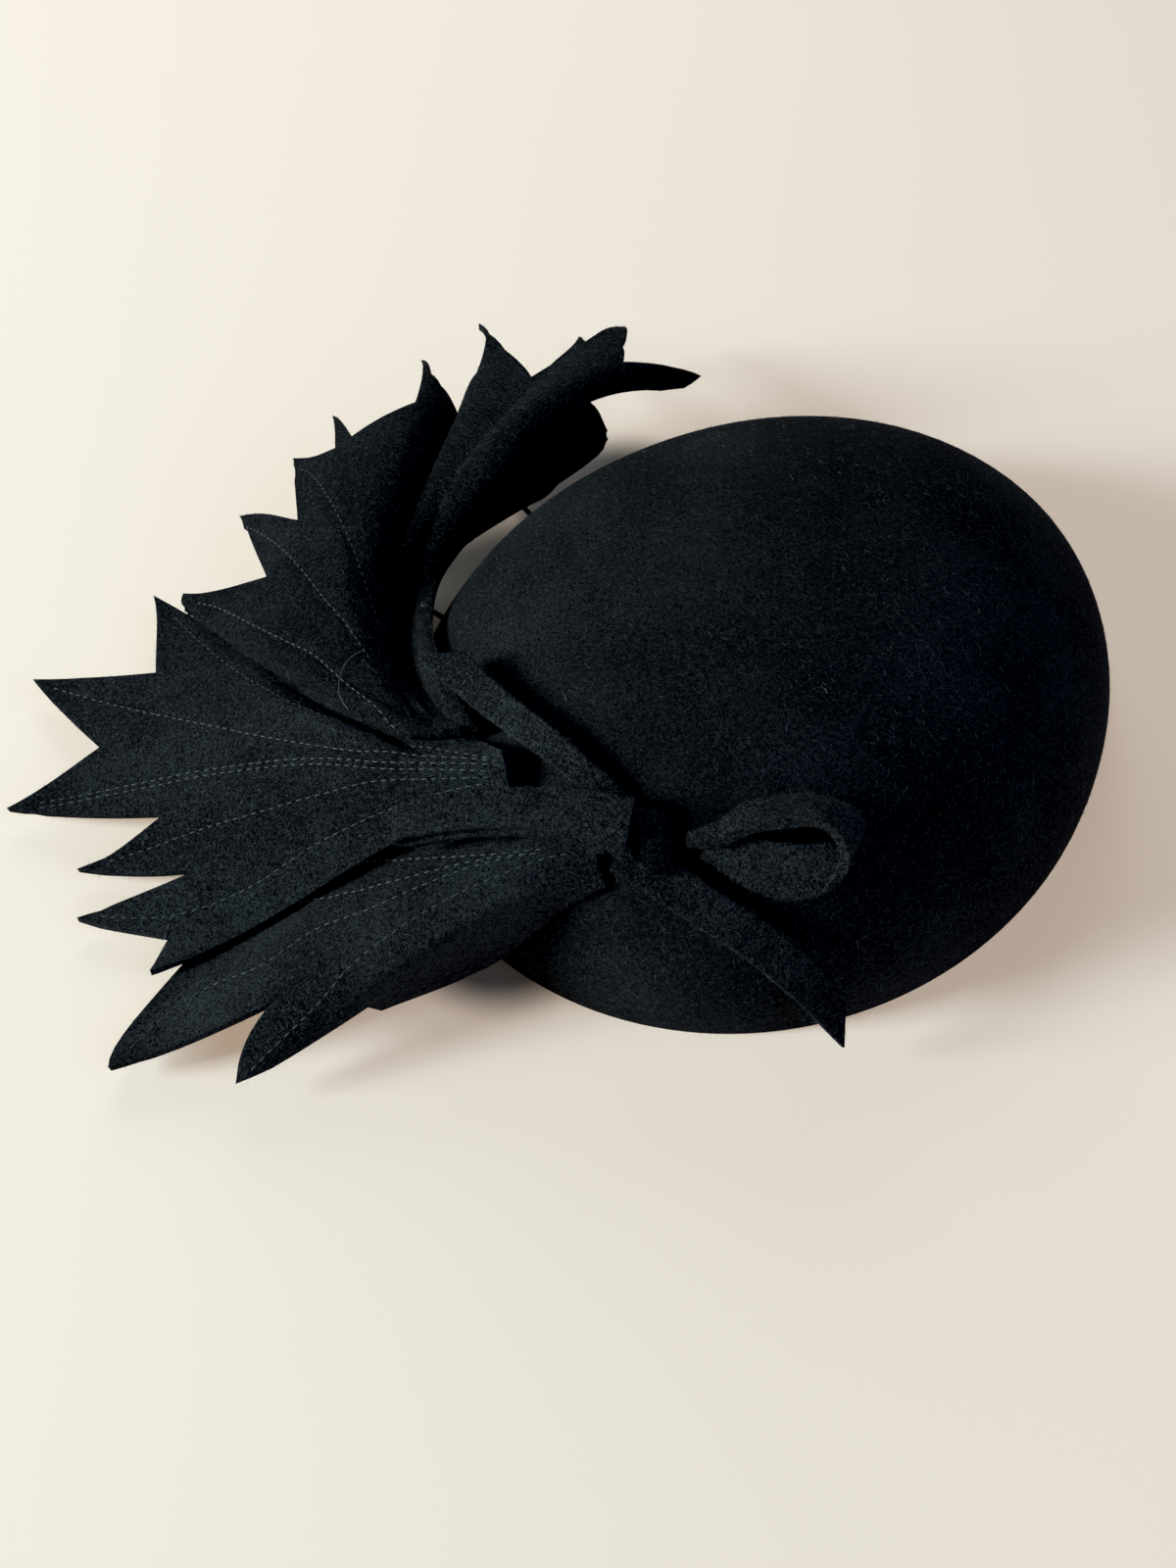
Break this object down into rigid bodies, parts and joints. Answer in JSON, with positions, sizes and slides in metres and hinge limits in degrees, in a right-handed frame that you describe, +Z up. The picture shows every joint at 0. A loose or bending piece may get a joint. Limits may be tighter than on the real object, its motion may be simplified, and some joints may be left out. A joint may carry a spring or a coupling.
{
  "type": "tilt hat",
  "caption": "Black felt tilt hat with a low rounded crown, stitched felt leaves fanning out on one side and a flat felt bow.",
  "frame": {"origin": "middle of the bounding box at the height of the rim, which rests on the surface", "axes": "+X from the leaves toward the crown, +Z up through the crown, +Y away from the bow side"},
  "size_m": [0.2982, 0.2652, 0.058],
  "materials": {
    "felt": "matte wool felt"
  },
  "bodies": {
    "root": {"crown": "felt", "leaf_upper": "felt", "leaf_middle": "felt", "leaf_lower": "felt", "bow_left_loop": "felt", "bow_right_loop": "felt", "bow_tail_upper": "felt", "bow_tail_lower": "felt", "bow_knot": "felt"}
  },
  "joints": []
}
